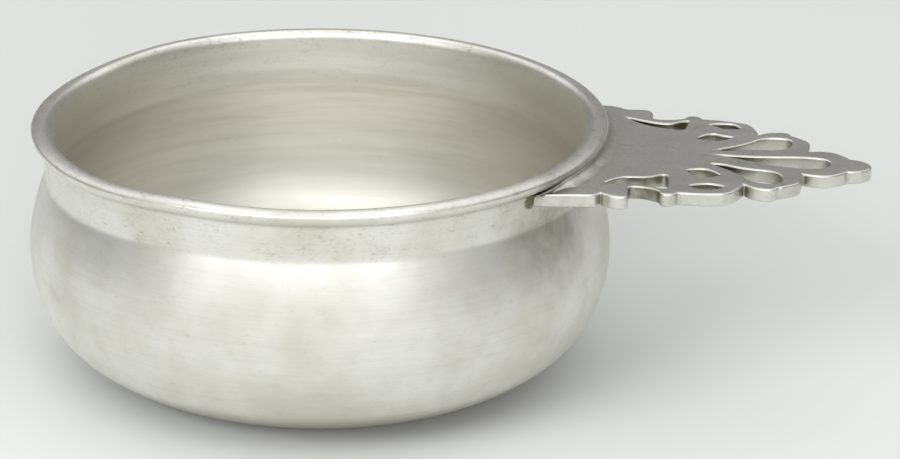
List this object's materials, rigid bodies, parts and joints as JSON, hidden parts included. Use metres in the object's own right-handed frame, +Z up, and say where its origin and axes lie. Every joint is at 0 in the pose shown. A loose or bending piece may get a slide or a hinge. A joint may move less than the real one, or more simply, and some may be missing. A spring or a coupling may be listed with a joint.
{
  "type": "porringer",
  "caption": "Shallow bellied pewter bowl with an upright collar and rolled lip, and one flat pierced ear handle fused to its side.",
  "frame": {"origin": "on the bowl's axis, in the plane of the flat disc that the bowl rests on", "axes": "+Z up along the bowl's axis, +X along the handle from the bowl to its tip"},
  "size_m": [0.186, 0.129, 0.059],
  "materials": {
    "bowl_pewter": "turned and rubbed pewter, satin, faint turning lines and small dings",
    "handle_pewter": "cast and filed pewter, satin, edges worn bright",
    "fused_pewter": "fused pewter, slightly pitted",
    "cast_pewter": "as-cast pewter skin, dull"
  },
  "bodies": {
    "root": {"bowl": "bowl_pewter", "handle": "handle_pewter", "handle_seam": "fused_pewter", "handle_bracket": "cast_pewter"}
  },
  "joints": []
}
